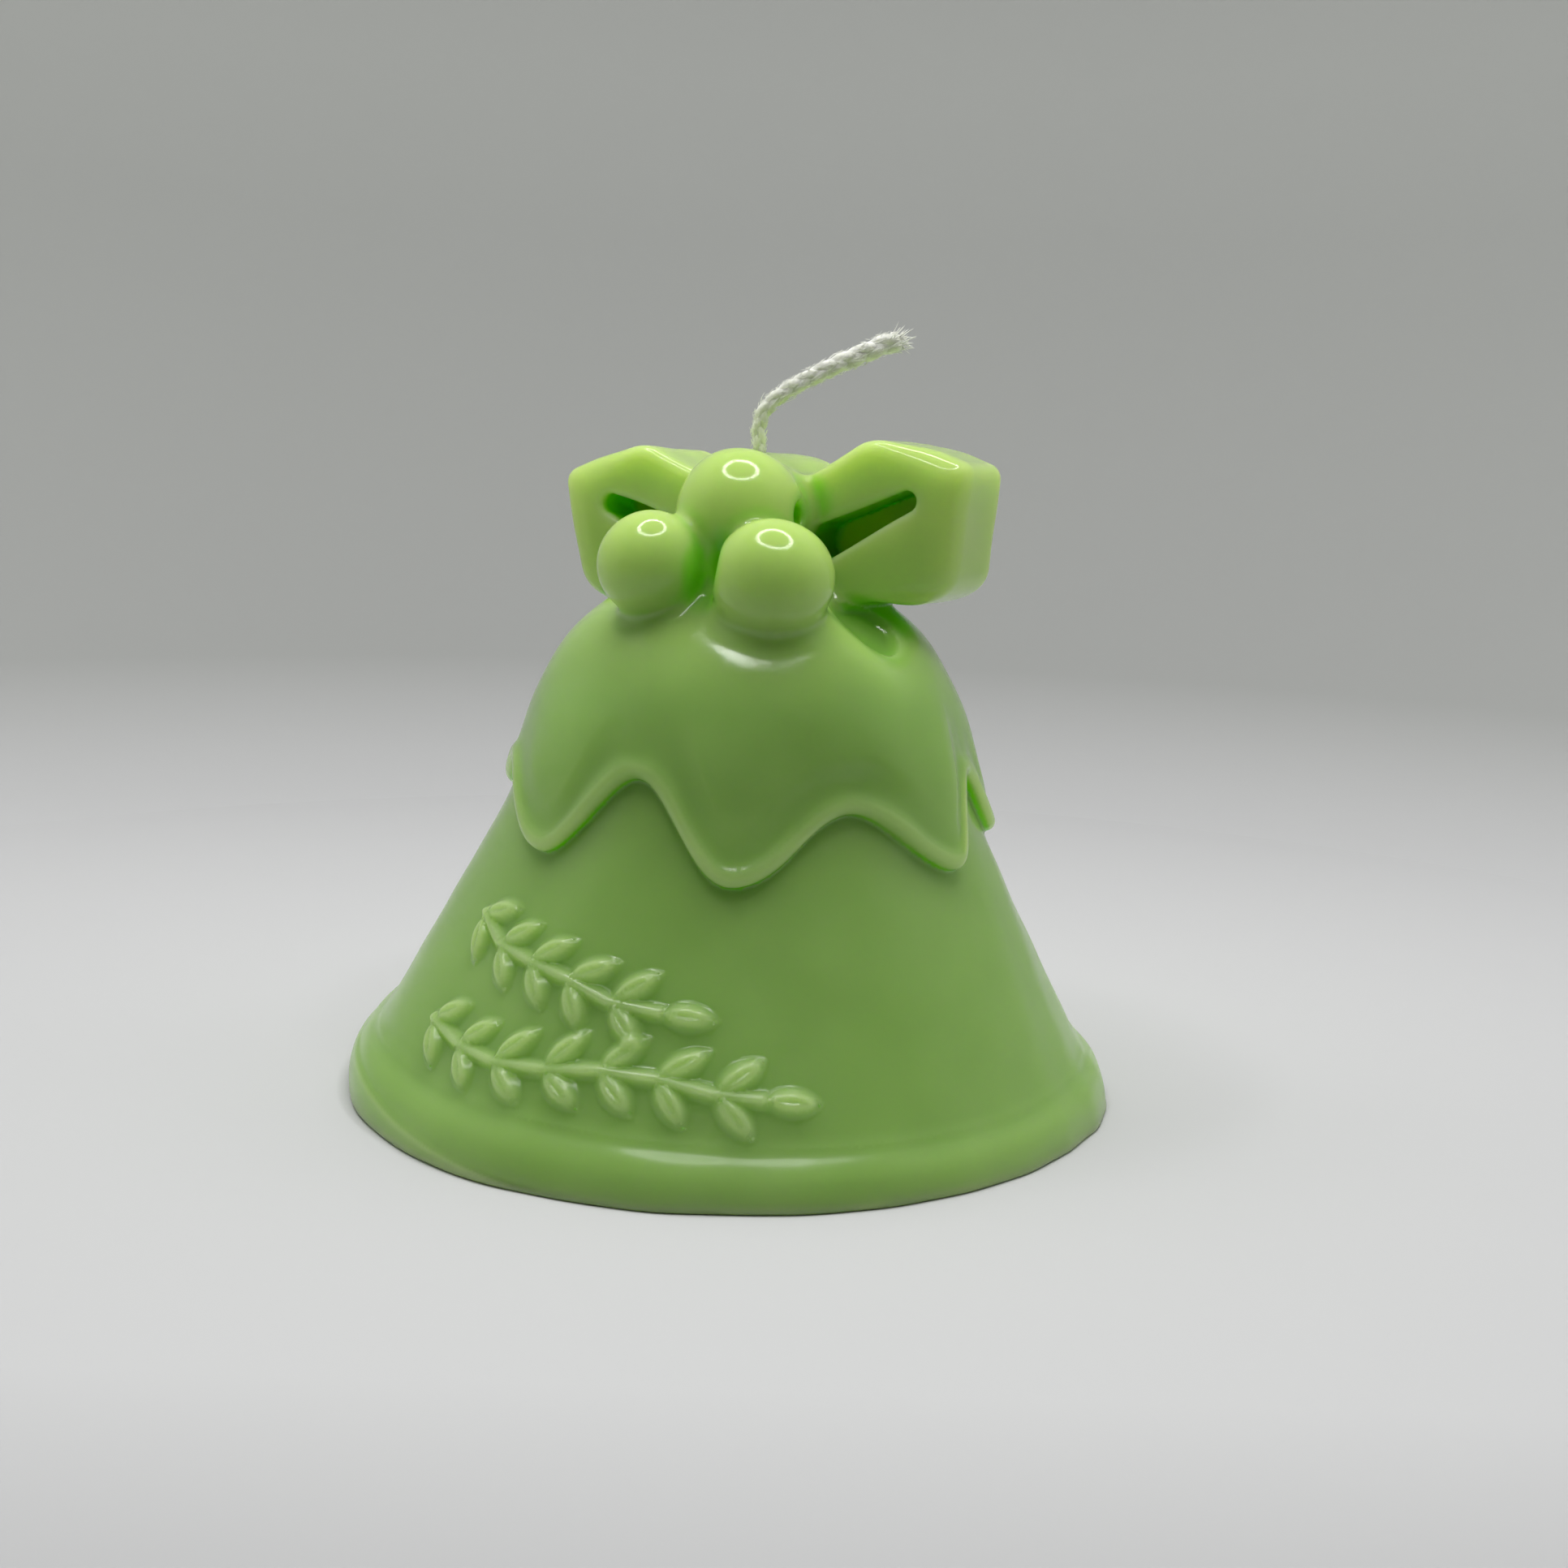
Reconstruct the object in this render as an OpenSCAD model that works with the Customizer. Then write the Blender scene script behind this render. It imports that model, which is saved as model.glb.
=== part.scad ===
// A decorative candle cast in the shape of a bell: a flared body on a bulging
// rim, a dripped icing layer over the shoulder, a cluster of round berries, a
// ribbon bow, two relief sprigs on the front of the flare and a cotton wick.
// Millimetres, +Z up, origin at the centre of the flat base.

/* [Bell] */
// Widest diameter, around the rim
rim_d = 80; // [60:1:100]
// Height of the rim
rim_h = 7.4; // [6:0.2:9]
// How far the foot of the flare stands in from the rim's widest line
rim_step = 3; // [2.5:0.1:4]
// Diameter of the shoulder, under the icing
shoulder_d = 44; // [40:1:48]
// Height of the shoulder above the base
shoulder_h = 37; // [35:0.5:39]
// Height of the flat top of the dome
dome_h = 52; // [52:0.5:54]

/* [Pour tilt] */
// How far the casting leans to the right of its flat base, in degrees
tilt_right = 1.3; // [0:0.1:2]
// How far the casting leans to the front of its flat base, in degrees
tilt_front = 1.9; // [0:0.1:2]

/* [Icing] */
// Thickness of the icing layer
icing_t = 1.1; // [0.8:0.1:1.5]
// Width of a drip
drip_w = 9; // [7:0.5:10]

/* [Berries] */
// Diameter of the upper berry
berry_upper_d = 12.6; // [11:0.2:13]
// Diameter of the left berry
berry_left_d = 10; // [9:0.2:11]
// Diameter of the right berry
berry_right_d = 11.6; // [10.4:0.2:12]

/* [Bow] */
// Depth of the ribbon, front to back
bow_depth = 14; // [12:0.5:15]
// How far the bow is turned about the vertical, right end forward, in degrees
bow_yaw = 25; // [15:1:30]
// How far the bow's right end is raised, in degrees
bow_tilt = 4; // [0:0.5:5]
// Width of the blind slot in the two faces of each loop
slot_w = 2.7; // [2:0.1:3]
// Thickness of the web that closes the slot midway
slot_web = 1.5; // [1:0.1:4]
// Diameter of the knot between the loops
knot_d = 13; // [12:0.5:14]

/* [Sprigs] */
// Height of the relief above the flare
relief_h = 1; // [0.7:0.1:1.2]
// Length of a leaf
leaf_l = 5.2; // [4:0.2:6]
// Width of a leaf
leaf_w = 2.4; // [2:0.1:3]
// Width of the stems
stem_w = 1.2; // [1:0.1:1.6]

/* [Wick] */
// Diameter of the wick in the wax and of the channel it fills
wick_d = 1.6; // [1.4:0.1:2.2]
// How much the loosening braid widens, once at the bend and once more after it
wick_swell = 0.2; // [0.1:0.1:0.3]
// Radius of the bend above the knot
wick_bend_r = 3.4; // [3:0.2:5]
// Angle through which the free end bends over
wick_bend = 61; // [30:1:80]
// Length of the straight free end
wick_end_l = 13; // [8:0.5:16]

/* [Hidden] */
$fn = 96;

wax = [0.56, 0.72, 0.42];
cotton = [0.93, 0.94, 0.90];

rim_r = rim_d / 2;
foot_r = rim_r - rim_step;
shoulder_r = shoulder_d / 2;
below = 3;                 // the tilted solids start this far below the cut base
far = 200;                 // larger than the whole candle
overlap = 0.1;             // how far joined stretches of the wick run into each other
curve_steps = 10;          // straight steps in each curve of the outline

// Control points of the flare and of the dome above it, as [radius, height]
flare = [[foot_r, rim_h], [foot_r - 7, rim_h + 9.2],
         [shoulder_r + 3.5, shoulder_h - 12], [shoulder_r, shoulder_h]];
dome = [[shoulder_r, shoulder_h], [shoulder_r - 1.7, shoulder_h + 5.8],
        [shoulder_r - 5.5, dome_h], [6, dome_h]];

function bezier(p, t) = pow(1 - t, 3) * p[0] + 3 * pow(1 - t, 2) * t * p[1]
                      + 3 * (1 - t) * t * t * p[2] + t * t * t * p[3];
function slope(p, t) = pow(1 - t, 2) * (p[1] - p[0]) + 2 * (1 - t) * t * (p[2] - p[1])
                     + t * t * (p[3] - p[2]);
function outward(p, t) = let(d = slope(p, t)) [d[1], -d[0]] / norm(d);
function curve(p, off, from = 0) =
    [for (i = [0:curve_steps]) let(t = from + (1 - from) * i / curve_steps)
        bezier(p, t) + off * outward(p, t)];

// The bell's outline, under the icing and above the rim
bell_outline = concat([[0, rim_h]], curve(flare, 0),
                      [for (p = curve(dome, 0)) if (p[1] > shoulder_h) p], [[0, dome_h]]);

// Drips of the icing: azimuth from the front, positive to the right, and height of the tip
drips = [[-46, 27.5], [-1, 26.5], [53, 27.5], [92, 28.5],
         [136, 27], [180, 26.5], [223, 28], [258, 29.5]];
// Height of the icing's edge where it crests between one drip and the next
crest_h = 34.5;
icing_from = 0.6;          // where along the flare the layer starts, below every drip

// Places in the casting, measured before it is tilted
berry_upper_at = [-1.7, -7, 60.2];
berry_left_at = [-10.1, -11.7, 55.1];
berry_right_at = [1.8, -16.2, 54.5];
bow_at = [2.2, 4.9, 59.4];
knot_extra = 1;            // the knot stands this much proud of the loops, front and back
wick_straight_h = 68.8;    // where the wick starts to bend

// Outline of the right loop, seen from the front: [along the bow, up]
loop_outline = [[4, 3.2], [12.8, 7.7], [21.8, 4.3], [20.3, -6.3], [17.2, -8.2], [7, -7.6], [4, -4]];
loop_corner_r = 1.2;
corner_steps = 4;
slot_from = [8, -2.2];
slot_to = [16.5, 1.5];

// Sprigs: [azimuth, place along the flare from 0 at its foot to 1 at the shoulder]
upper_stem = [[-56, 0.50], [-47, 0.44], [-38, 0.42], [-29, 0.40], [-20, 0.36], [-11, 0.35]];
lower_stem = [[-55, 0.16], [-46, 0.13], [-37, 0.12], [-28, 0.14], [-19, 0.17], [-10, 0.17],
              [-1, 0.14], [6, 0.13]];
leaf_turn = 42;            // angle between a leaf and its stem

// ---- helpers ----

// Tilts the casting on its base
module as_cast() { rotate([tilt_front, tilt_right, 0]) children(); }

// Keeps what stands above the flat base
module cut_flat() {
    difference() {
        children();
        translate([-far / 2, -far / 2, -far]) cube(far);
    }
}

// Puts children, drawn facing +Z with +Y uphill, on the flare
module on_flare(azimuth, t) {
    p = bezier(flare, t);
    n = outward(flare, t);
    rotate([0, 0, azimuth]) translate([0, -p[0], p[1]])
        rotate([90 - atan2(n[1], n[0]), 0, 0]) children();
}

function flare_point(a, t) = let(p = bezier(flare, t)) [p[0] * sin(a), -p[0] * cos(a), p[1]];

// Run from one place on the flare to another, seen from outside: [to the right, uphill]
function flare_run(from, to) =
    let(d = flare_point(to[0], to[1]) - flare_point(from[0], from[1]))
    [d[0] * cos(from[0]) + d[1] * sin(from[0]), d[2] / outward(flare, from[1])[0]];

// Solid of revolution of the bell with no rim, icing or wick channel
module bell_solid() { rotate_extrude() polygon(bell_outline); }

// The foot of the casting: a disc whose edge bulges as part of a circle
module rim_solid() {
    bead_r = 9;
    bead_h = 2;
    rotate_extrude() intersection() {
        translate([0, -below]) square([rim_r, below + rim_h]);
        union() {
            translate([0, -below]) square([foot_r, below + rim_h]);
            translate([rim_r - bead_r, bead_h]) circle(bead_r);
        }
    }
}

module iced_solid() {
    rotate_extrude() polygon(concat(
        [[0, shoulder_h - 15]],
        curve(flare, icing_t, icing_from),
        [for (p = curve(dome, icing_t)) if (p[1] > shoulder_h + 1 && p[0] > 0.01) p],
        [[0, dome_h + icing_t]]));
}

module wick_channel() { translate([0, 0, -2 * below]) cylinder(d = wick_d, h = far); }

module berry(at, d) { translate(at) sphere(d = d); }

module berries() {
    berry(berry_upper_at, berry_upper_d);
    berry(berry_left_at, berry_left_d);
    berry(berry_right_at, berry_right_d);
}

module in_bow() {
    translate(bow_at) rotate([0, 0, -bow_yaw]) rotate([0, -bow_tilt, 0]) children();
}

module knot_solid() {
    in_bow() rotate([90, 0, 0]) cylinder(d = knot_d, h = bow_depth + 2 * knot_extra, center = true);
}

// A closed outline with every corner rounded to radius r
function unit(v) = v / norm(v);
function corner(a, b, c, r) =
    let(u = unit(a - b), v = unit(c - b), half = acos(u * v) / 2,
        mid = b + unit(u + v) * r / sin(half),
        from = b + u * r / tan(half) - mid, to = b + v * r / tan(half) - mid)
    [for (i = [0:corner_steps]) mid + r * unit(from * (corner_steps - i) + to * i)];
function rounded(p, r) = let(n = len(p))
    [for (i = [0:n - 1]) each corner(p[(i + n - 1) % n], p[i], p[(i + 1) % n], r)];

module slot_outline() {
    run = slot_to - slot_from;
    translate(slot_from) rotate(atan2(run[1], run[0])) {
        circle(d = slot_w);
        translate([0, -slot_w / 2]) square([norm(run), slot_w]);
        translate([norm(run), 0]) circle(d = slot_w);
    }
}

module loop_solid() {
    rotate([90, 0, 0]) difference() {
        linear_extrude(bow_depth, center = true) polygon(rounded(loop_outline, loop_corner_r));
        for (side = [0, 1]) mirror([0, 0, side])
            translate([0, 0, slot_web / 2]) linear_extrude(bow_depth) slot_outline();
    }
}

// Everything that the loops stop against
module bow_neighbours() {
    iced_solid();
    berries();
    knot_solid();
}

// A radial prism of a drip: a tongue from z = tip upwards
module drip_tongue(azimuth, tip) {
    rotate([0, 0, azimuth]) rotate([90, 0, 0]) linear_extrude(far) {
        translate([0, tip + drip_w / 2]) circle(d = drip_w);
        translate([-drip_w / 2, tip + drip_w / 2]) square([drip_w, far]);
    }
}

// A leaf lying along +X: two arcs that meet in a point at each end
module leaf() {
    arc_r = (leaf_l * leaf_l + leaf_w * leaf_w) / (4 * leaf_w);
    translate([leaf_l / 2, 0, -relief_h]) linear_extrude(2 * relief_h) intersection() {
        translate([0, arc_r - leaf_w / 2]) circle(arc_r);
        translate([0, leaf_w / 2 - arc_r]) circle(arc_r);
    }
}

// A stem along the given places, with a leaf to each side at every place and one at the tip
module sprig(stem) {
    last = len(stem) - 1;
    difference() {
        union() {
            for (i = [0:last]) {
                run = i < last ? flare_run(stem[i], stem[i + 1]) : -flare_run(stem[i], stem[i - 1]);
                on_flare(stem[i][0], stem[i][1]) rotate(atan2(run[1], run[0])) {
                    if (i < last) {
                        translate([-stem_w / 2, -stem_w / 2, -relief_h])
                            cube([norm(run) + stem_w, stem_w, 1.8 * relief_h]);
                        for (turn = [-leaf_turn, leaf_turn]) rotate(turn) leaf();
                    } else {
                        leaf();
                    }
                }
            }
        }
        bell_solid();
        rim_solid();
    }
}

// ---- sub-parts ----

module bell_body() {
    color(wax) as_cast() difference() {
        bell_solid();
        wick_channel();
    }
}

module base_rim() {
    color(wax) cut_flat() as_cast() difference() {
        rim_solid();
        wick_channel();
    }
}

module icing_cap() {
    color(wax) as_cast() difference() {
        intersection() {
            iced_solid();
            union() {
                translate([0, 0, crest_h]) cylinder(r = rim_r, h = far);
                for (d = drips) drip_tongue(d[0], d[1]);
            }
        }
        bell_solid();
        wick_channel();
    }
}

module berry_left() {
    color(wax) as_cast() difference() {
        berry(berry_left_at, berry_left_d);
        iced_solid();
    }
}

module berry_right() {
    color(wax) as_cast() difference() {
        berry(berry_right_at, berry_right_d);
        iced_solid();
    }
}

module berry_upper() {
    color(wax) as_cast() difference() {
        berry(berry_upper_at, berry_upper_d);
        berry(berry_left_at, berry_left_d);
        berry(berry_right_at, berry_right_d);
        iced_solid();
    }
}

module bow_knot() {
    color(wax) as_cast() difference() {
        knot_solid();
        iced_solid();
        berries();
        wick_channel();
    }
}

module bow_loop_right() {
    color(wax) as_cast() difference() {
        in_bow() loop_solid();
        bow_neighbours();
    }
}

module bow_loop_left() {
    color(wax) as_cast() difference() {
        in_bow() mirror([1, 0, 0]) loop_solid();
        bow_neighbours();
    }
}

module sprig_upper() { color(wax) as_cast() sprig(upper_stem); }

module sprig_lower() { color(wax) as_cast() sprig(lower_stem); }

// The part of a ring that leads from vertical to wick_bend degrees off it
module wick_elbow() {
    room = 2 * (wick_bend_r + wick_d);
    translate([wick_bend_r, 0, 0]) intersection() {
        rotate([90, 0, 0]) rotate_extrude() translate([wick_bend_r, 0]) circle(d = wick_d + wick_swell);
        translate([-room, -room / 2, 0]) cube(room);
        rotate([0, wick_bend, 0]) translate([-room, -room / 2, -room]) cube(room);
    }
}

module wick() {
    color(cotton) cut_flat() as_cast() {
        translate([0, 0, -below]) cylinder(d = wick_d, h = wick_straight_h + below + overlap);
        translate([0, 0, wick_straight_h]) {
            wick_elbow();
            translate([wick_bend_r * (1 - cos(wick_bend)), 0, wick_bend_r * sin(wick_bend)])
                rotate([0, wick_bend, 0]) translate([0, 0, -overlap])
                    cylinder(d = wick_d + 2 * wick_swell, h = wick_end_l + overlap);
        }
    }
}

bell_body();
base_rim();
icing_cap();
berry_upper();
berry_left();
berry_right();
bow_loop_left();
bow_loop_right();
bow_knot();
sprig_upper();
sprig_lower();
wick();
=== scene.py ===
"""A bell-shaped wax candle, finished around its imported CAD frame.

The wax is one casting, so it is one mesh: a distance field of the same elements that the
frame has as nodes, which melt into each other as poured wax does. Shapes are worked out in
millimetres in the casting's own axes, before the casting leans on its base.
"""

import math

import bpy
import numpy as np
import openvdb
from mathutils import Matrix, Vector


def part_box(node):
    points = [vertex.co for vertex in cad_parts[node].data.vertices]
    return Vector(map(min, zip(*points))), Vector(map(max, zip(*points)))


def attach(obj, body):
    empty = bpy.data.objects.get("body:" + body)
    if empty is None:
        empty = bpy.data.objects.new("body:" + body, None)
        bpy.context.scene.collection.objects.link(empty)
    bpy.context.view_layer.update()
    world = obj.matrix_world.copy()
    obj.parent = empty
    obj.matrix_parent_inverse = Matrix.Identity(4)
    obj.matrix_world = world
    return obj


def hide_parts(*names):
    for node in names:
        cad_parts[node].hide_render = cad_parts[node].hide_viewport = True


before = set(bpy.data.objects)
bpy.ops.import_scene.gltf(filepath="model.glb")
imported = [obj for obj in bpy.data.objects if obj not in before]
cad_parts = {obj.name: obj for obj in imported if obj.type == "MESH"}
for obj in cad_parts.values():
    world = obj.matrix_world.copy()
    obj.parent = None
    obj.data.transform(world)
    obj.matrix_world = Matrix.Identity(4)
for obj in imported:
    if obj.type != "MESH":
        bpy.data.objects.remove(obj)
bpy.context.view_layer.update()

MM = 0.001
WAX_NODES = ["bell_body", "base_rim", "icing_cap", "berry_upper", "berry_left", "berry_right",
             "bow_loop_left", "bow_loop_right", "bow_knot", "sprig_upper", "sprig_lower"]
rng = np.random.default_rng(11)

# ---- the casting's axes ----

TILT_FRONT, TILT_RIGHT = math.radians(1.9), math.radians(1.3)
LEAN = np.array(Matrix.Rotation(TILT_RIGHT, 3, "Y") @ Matrix.Rotation(TILT_FRONT, 3, "X"))


def node_points(node):
    """The vertices of a CAD node in the casting's axes, in millimetres."""
    co = np.array([v.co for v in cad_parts[node].data.vertices]) / MM
    return co @ LEAN


def fitted_ball(node):
    """Centre and radius of the sphere that a CAD berry was cut from."""
    points = node_points(node)
    low, high = points.min(0), points.max(0)
    centre, radius = (low + high) / 2, (high - low).max() / 2
    centre[2] = high[2] - radius
    for tolerance in (1.5, 0.8, 0.4, 0.2, 0.1):
        gap = np.abs(np.linalg.norm(points - centre, axis=1) - radius)
        on = points[gap < tolerance]
        rows = np.column_stack([2 * on, np.ones(len(on))])
        answer = np.linalg.lstsq(rows, (on**2).sum(1), rcond=None)[0]
        centre = answer[:3]
        radius = math.sqrt(answer[3] + centre @ centre)
    return centre, radius


# ---- sizes in millimetres, from the frame where it holds them ----

rim_low, rim_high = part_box("base_rim")
RIM_R = (rim_high.x - rim_low.x) / 2 / MM
RIM_H = 6.5
FOOT_R = RIM_R - 3.1
BEAD_R, BEAD_H = 9, 0.2         # the rim's bulge is part of a circle of this radius, centred this high
RIM_TOP_W, RIM_TOP_FACES = 2.6, (0.34, 0.94)    # the rim's sloping top: its width, and the way it faces
# The faint step low on the rim: height, how far it stands out, and where round the left it rises and fades
PLINTH_H, PLINTH_OUT = 4.6, 0.28
PLINTH_RISE, PLINTH_FADE = (15, 85), (120, 175)
SHOULDER_R, SHOULDER_H, DOME_H = 22, 37, 52
FLARE = [[FOOT_R, RIM_H], [FOOT_R - 5.0, RIM_H + 9.3], [SHOULDER_R + 3.6, SHOULDER_H - 12],
         [SHOULDER_R, SHOULDER_H]]
DOME = [[SHOULDER_R, SHOULDER_H], [SHOULDER_R - 1.7, SHOULDER_H + 5.8],
        [SHOULDER_R - 5.5, DOME_H], [6, DOME_H]]
BELOW = 4                       # the outline goes on this far under the casting's base

ICING_T = 1.3
# How far past its edge, negative inwards, the layer stops being one with the body and is a layer on it
ICING_SEAM = (-3, -1.5)
ROLL_H, ROLL_IN, ROLL_W = 0.34, 1.0, 0.8        # the raised roll along the edge: height, place and width
# Edge of the icing, drip and crest in turn: azimuth from the front, height, swell of the lobe
ICING_EDGE = [(-46, 27.4, 0.9), (-24.5, 35.6, -0.4), (-1, 26.9, 1.0), (25.5, 33.4, 0.3),
              (54, 27.3, 0.8), (70.5, 35.2, -0.4), (91, 28, 0.5), (114, 34.5, -0.3),
              (136, 27, 0.7), (158, 34.5, -0.3), (180, 26.5, 0.8), (201, 35, -0.4),
              (222, 28, 0.6), (240, 34.5, -0.3), (258, 29.5, 0.4), (282, 33.6, -0.2),
              (314, 27.4, 0.9)]
LOBE_RISE, LOBE_FADE = (28, 37), (36, 46)       # heights where the lobes swell and die out
LOBE_LOW = 0.3                  # share of its swell that a lobe keeps at its tip
LOBE_EASE = (0.6, 5.5)          # how far in from the edge the lobes begin and reach their full height
# The icing is fuller at its front: how much, where round the bell, and between which heights
FULL_FRONT, FULL_AZIMUTH, FULL_SPREAD = 1.9, 16, 36
FULL_RISE, FULL_FADE = (33, 46.5), (47.5, 56)

BOW_AT, BOW_YAW, BOW_TILT = (2.2, 4.9, 59.4), 25, 4
BOW_DEPTH = 14
LOOP = [(4, 3.2), (12.8, 7.7), (21.8, 4.3), (20.3, -6.3), (17.2, -8.2), (7, -7.6), (4, -4)]
SLOT_FROM, SLOT_TO, SLOT_WEB = (8, -2.2), (16.6, 1.6), 1.5
SLOT_INNER_R, SLOT_OUTER_R = 1.75, 1.05
LOOP_FAR = (13, 20)             # where along a loop its far end begins and is complete
LOOP_OUT, FAR_OUT = 0.15, 0.85  # how far a loop swells past LOOP, and how much more at its far end
LOOP_EDGE, FAR_EDGE = 1.3, 1.9  # how soft a loop's edges are, and how much softer at its far end
KNOT_R, KNOT_EXTRA = 6.5, 1
# Hollows pressed in before the bow and berries are added, and the pits left between them:
# centre, azimuth, then reach around the bell, outwards and upwards
HOLLOWS = [((12.2, -10.2, 53.3), 47, (2.9, 3.6, 3.8))]
PITS = [((3.6, -7.6, 60.3), 30, (1.2, 2.4, 1.1)), ((-3.4, -14.6, 55.4), -14, (0.9, 2.4, 1.6))]
BERRY_CORE, BERRY_CORE_R = (-2.6, -8.2, 54.5), 4.4     # wax that fills in between the berries

RELIEF_H, LEAF_L, LEAF_W, STEM_W, LEAF_TURN = 1.0, 5.2, 2.4, 1.2, 42
STEM_SHARE = 0.85               # height of a stem, as a share of a leaf's
STEM_SIDE, LEAF_SIDE = (-0.6, 0.5), (-0.9, 0.5)         # how far inside and outside its outline each rises
RIB_DEPTH, RIB_W, RIB_FROM = 0.2, 0.3, 0.8              # the groove along a leaf, and where it starts
# Places on the flare: azimuth, and how far up it from 0 at the foot to 1 at the shoulder
UPPER_STEM = [(-56, 0.50), (-47, 0.44), (-38, 0.42), (-29, 0.40), (-20, 0.36), (-11, 0.35)]
LOWER_STEM = [(-55, 0.16), (-46, 0.13), (-37, 0.12), (-28, 0.14), (-19, 0.17), (-10, 0.17),
              (-1, 0.14), (6, 0.13)]

# How wide the fillet is where each shape melts into those before it, or where its edge is rounded
MELT = {"rim edge": 1.8, "plinth edge": 0.4, "plinth": 0.5, "rim": 0.9, "icing": 0.7, "hollow": 6,
        "knot edge": 2.5, "knot": 1.8, "loop corner": 1.3, "slot lip": 0.8, "loop": 1.6,
        "berry": 1.9, "berry core": 2.0, "cluster": 2.6, "pit": 1.0, "base edge": 0.6}

# Slight unevenness of the surface: wavelength, height and number of waves
RIPPLES = ((17, 0.05, 5), (7, 0.018, 6))

# Where each element is worked out; elsewhere it is too far off to matter
SPRIG_HEIGHTS, SPRIG_AZIMUTHS, SPRIG_REACH = (5, 34), (-80, 30), 3
ICING_ABOVE, CROWN_ABOVE = 22, 40

# The wax mesh: size of its grid's cells, the box it covers, and how many triangles it may have
CELL, QUICK_CELL = 0.32, 0.6
WAX_LOW, WAX_HIGH = (-43.2, -43.2, -3), (43.2, 43.2, 72)
MOST_FACES = 196000

# The wick's centreline in the casting's axes, from the base to the frayed end
WICK_ROUTE = [(0, 0, 0.2), (0, 0, 20), (0, 0, 40), (0, 0, 58), (-0.2, 0, 64), (-0.4, 0.2, 67),
              (-0.5, 0.3, 68.6), (-0.1, 0.3, 70.1), (1, 0.3, 71.4), (2.9, 0.3, 72.8),
              (7, 0.3, 75.1), (11.2, 0.3, 77.1), (13.2, 0.3, 77.9)]


# ---- distance field helpers ----

def smooth_min(a, b, k):
    h = np.maximum(k - np.abs(a - b), 0) / k
    return np.minimum(a, b) - h * h * k / 4


def smooth_max(a, b, k):
    return -smooth_min(-a, -b, k)


def step(x, low, high):
    """0 below low, 1 above high, smooth between."""
    t = np.clip((x - low) / (high - low), 0, 1)
    return t * t * (3 - 2 * t)


def bezier(p, t):
    p, t = np.array(p, float), np.asarray(t, float)[:, None]
    return (1 - t)**3 * p[0] + 3 * (1 - t)**2 * t * p[1] + 3 * (1 - t) * t * t * p[2] + t**3 * p[3]


class Outline:
    """The bell's outline in (radius, height), as tables of signed distance and arc length."""

    STEP = 0.2
    WIDTH, TOP = 48, 80         # how far out and up the tables go

    def __init__(self):
        t = np.linspace(0, 1, 41)
        flare, dome = bezier(FLARE, t), bezier(DOME, t)
        self.points = np.vstack([flare, dome[1:], [0, DOME_H]])
        runs = np.linalg.norm(np.diff(self.points, axis=0), axis=1)
        self.length = np.concatenate([[0], np.cumsum(runs)])
        self.flare_t, self.flare_length = t, self.length[:len(t)]
        self.flare_r = flare[:, 0]
        foot = np.array([[0, -BELOW], [FOOT_R, -BELOW]])
        self.shape = (int(self.WIDTH / self.STEP), int((BELOW + self.TOP) / self.STEP))
        grid = np.mgrid[0:self.shape[0], 0:self.shape[1]].reshape(2, -1).T * self.STEP
        grid[:, 1] -= BELOW
        closed = np.vstack([foot, self.points])
        best, along, inside = np.full(len(grid), 1e9), np.zeros(len(grid)), np.zeros(len(grid), bool)
        for i in range(len(closed) - 1):
            a, b = closed[i], closed[i + 1]
            run = b - a
            u = np.clip((grid - a) @ run / (run @ run), 0, 1)
            gap = np.linalg.norm(grid - a - u[:, None] * run, axis=1)
            nearer = gap < best
            best[nearer] = gap[nearer]
            if i >= len(foot):
                along[nearer] = (self.length[i - len(foot)] + u * np.linalg.norm(run))[nearer]
            else:
                along[nearer] = 0
            if a[1] != b[1]:
                crosses = (grid[:, 1] >= min(a[1], b[1])) & (grid[:, 1] < max(a[1], b[1]))
                at = a[0] + (grid[:, 1] - a[1]) / run[1] * run[0]
                inside ^= crosses & (grid[:, 0] < at)
        self.distance = np.where(inside, -best, best).reshape(self.shape)
        self.along = along.reshape(self.shape)

    def look_up(self, radius, height):
        """Signed distance to the bell, and arc length up the outline of the nearest place."""
        x = np.clip(radius / self.STEP, 0, self.shape[0] - 1.001)
        y = np.clip((height + BELOW) / self.STEP, 0, self.shape[1] - 1.001)
        i, j = x.astype(int), y.astype(int)
        u, v = x - i, y - j
        weights = ((1 - u) * (1 - v), u * (1 - v), (1 - u) * v, u * v)
        places = ((i, j), (i + 1, j), (i, j + 1), (i + 1, j + 1))
        distance = sum(w * self.distance[p] for w, p in zip(weights, places))
        along = sum(w * self.along[p] for w, p in zip(weights, places))
        return distance, along

    def length_at_height(self, z):
        return np.interp(z, self.points[:, 1], self.length)


OUTLINE = Outline()


# ---- the elements of the casting ----

def around(azimuth, column):
    """A smooth wave through a column of ICING_EDGE, and its slope per degree."""
    table = np.array(ICING_EDGE, float)
    a = (azimuth - table[0, 0]) % 360 + table[0, 0]
    i = np.clip(np.searchsorted(table[:, 0], a, side="right") - 1, 0, len(table) - 2)
    span = table[i + 1, 0] - table[i, 0]
    t = (a - table[i, 0]) / span
    rise = table[i + 1, column] - table[i, column]
    value = table[i, column] + rise * (1 - np.cos(np.pi * t)) / 2
    return value, rise * np.pi / 2 * np.sin(np.pi * t) / span


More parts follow.
